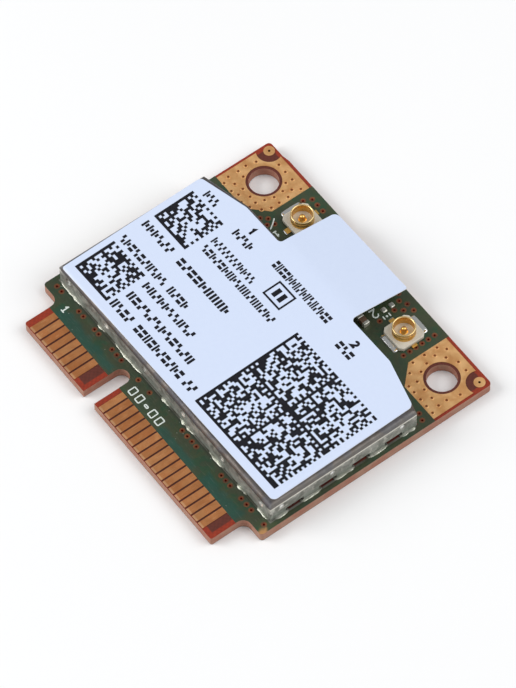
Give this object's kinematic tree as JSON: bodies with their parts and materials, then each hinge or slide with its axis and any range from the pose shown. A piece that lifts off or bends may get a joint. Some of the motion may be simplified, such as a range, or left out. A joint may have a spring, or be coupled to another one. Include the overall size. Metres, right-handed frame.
{
  "type": "mini pcie wifi card",
  "caption": "Half-height mini PCIe wifi card with a shield box under a label, coaxial antenna sockets, an edge connector with a key notch and copper mounting pads with screw holes.",
  "frame": {"origin": "under the middle of the board, on its lowest face", "axes": "+X along the edge connector, +Y from the edge connector to the screw holes, +Z out of the component side"},
  "size_m": [0.03, 0.0268, 0.0033],
  "materials": {
    "laminate": "satin",
    "solder_mask": "gloss",
    "contact_gold": "satin",
    "pad_copper": "satin",
    "via_copper": "satin",
    "shield_steel": "satin",
    "solder": "gloss",
    "label_paper": "satin",
    "label_ink": "matte",
    "board_ink": "matte",
    "socket_gold": "gloss",
    "socket_plastic": "satin",
    "chip_plastic": "matte",
    "capacitor_ceramic": "satin",
    "filter_ceramic": "satin"
  },
  "bodies": {
    "root": {"laminate_board": "laminate", "solder_mask_top": "solder_mask", "solder_mask_bottom": "solder_mask", "edge_contacts_top": "contact_gold", "edge_contacts_bottom": "contact_gold", "mounting_pad_left": "pad_copper", "mounting_pad_right": "pad_copper", "corner_test_pads": "pad_copper", "board_vias": "via_copper", "shield_land": "pad_copper", "spare_lands": "solder", "silkscreen": "board_ink", "shield_frame": "shield_steel", "shield_lid": "shield_steel", "shield_solder": "solder", "label": "label_paper", "label_print": "label_ink", "left_socket_base": "socket_plastic", "left_socket_shell": "socket_gold", "left_socket_contact": "socket_gold", "left_socket_solder": "solder", "right_socket_base": "socket_plastic", "right_socket_shell": "socket_gold", "right_socket_contact": "socket_gold", "right_socket_solder": "solder", "side_capacitor_body": "capacitor_ceramic", "side_capacitor_ends": "solder", "radio_chip": "chip_plastic", "radio_chip_leads": "solder", "front_end_modules": "chip_plastic", "front_end_leads": "solder", "crystal": "shield_steel", "memory_chip": "chip_plastic", "memory_chip_leads": "solder", "regulator_chip": "chip_plastic", "power_inductor": "chip_plastic", "bulk_capacitor_bodies": "capacitor_ceramic", "bulk_capacitor_ends": "solder", "decoupling_capacitor_bodies": "capacitor_ceramic", "decoupling_capacitor_ends": "solder", "resistor_bodies": "chip_plastic", "resistor_ends": "solder", "filter_bodies": "filter_ceramic", "filter_ends": "solder"}
  },
  "joints": []
}
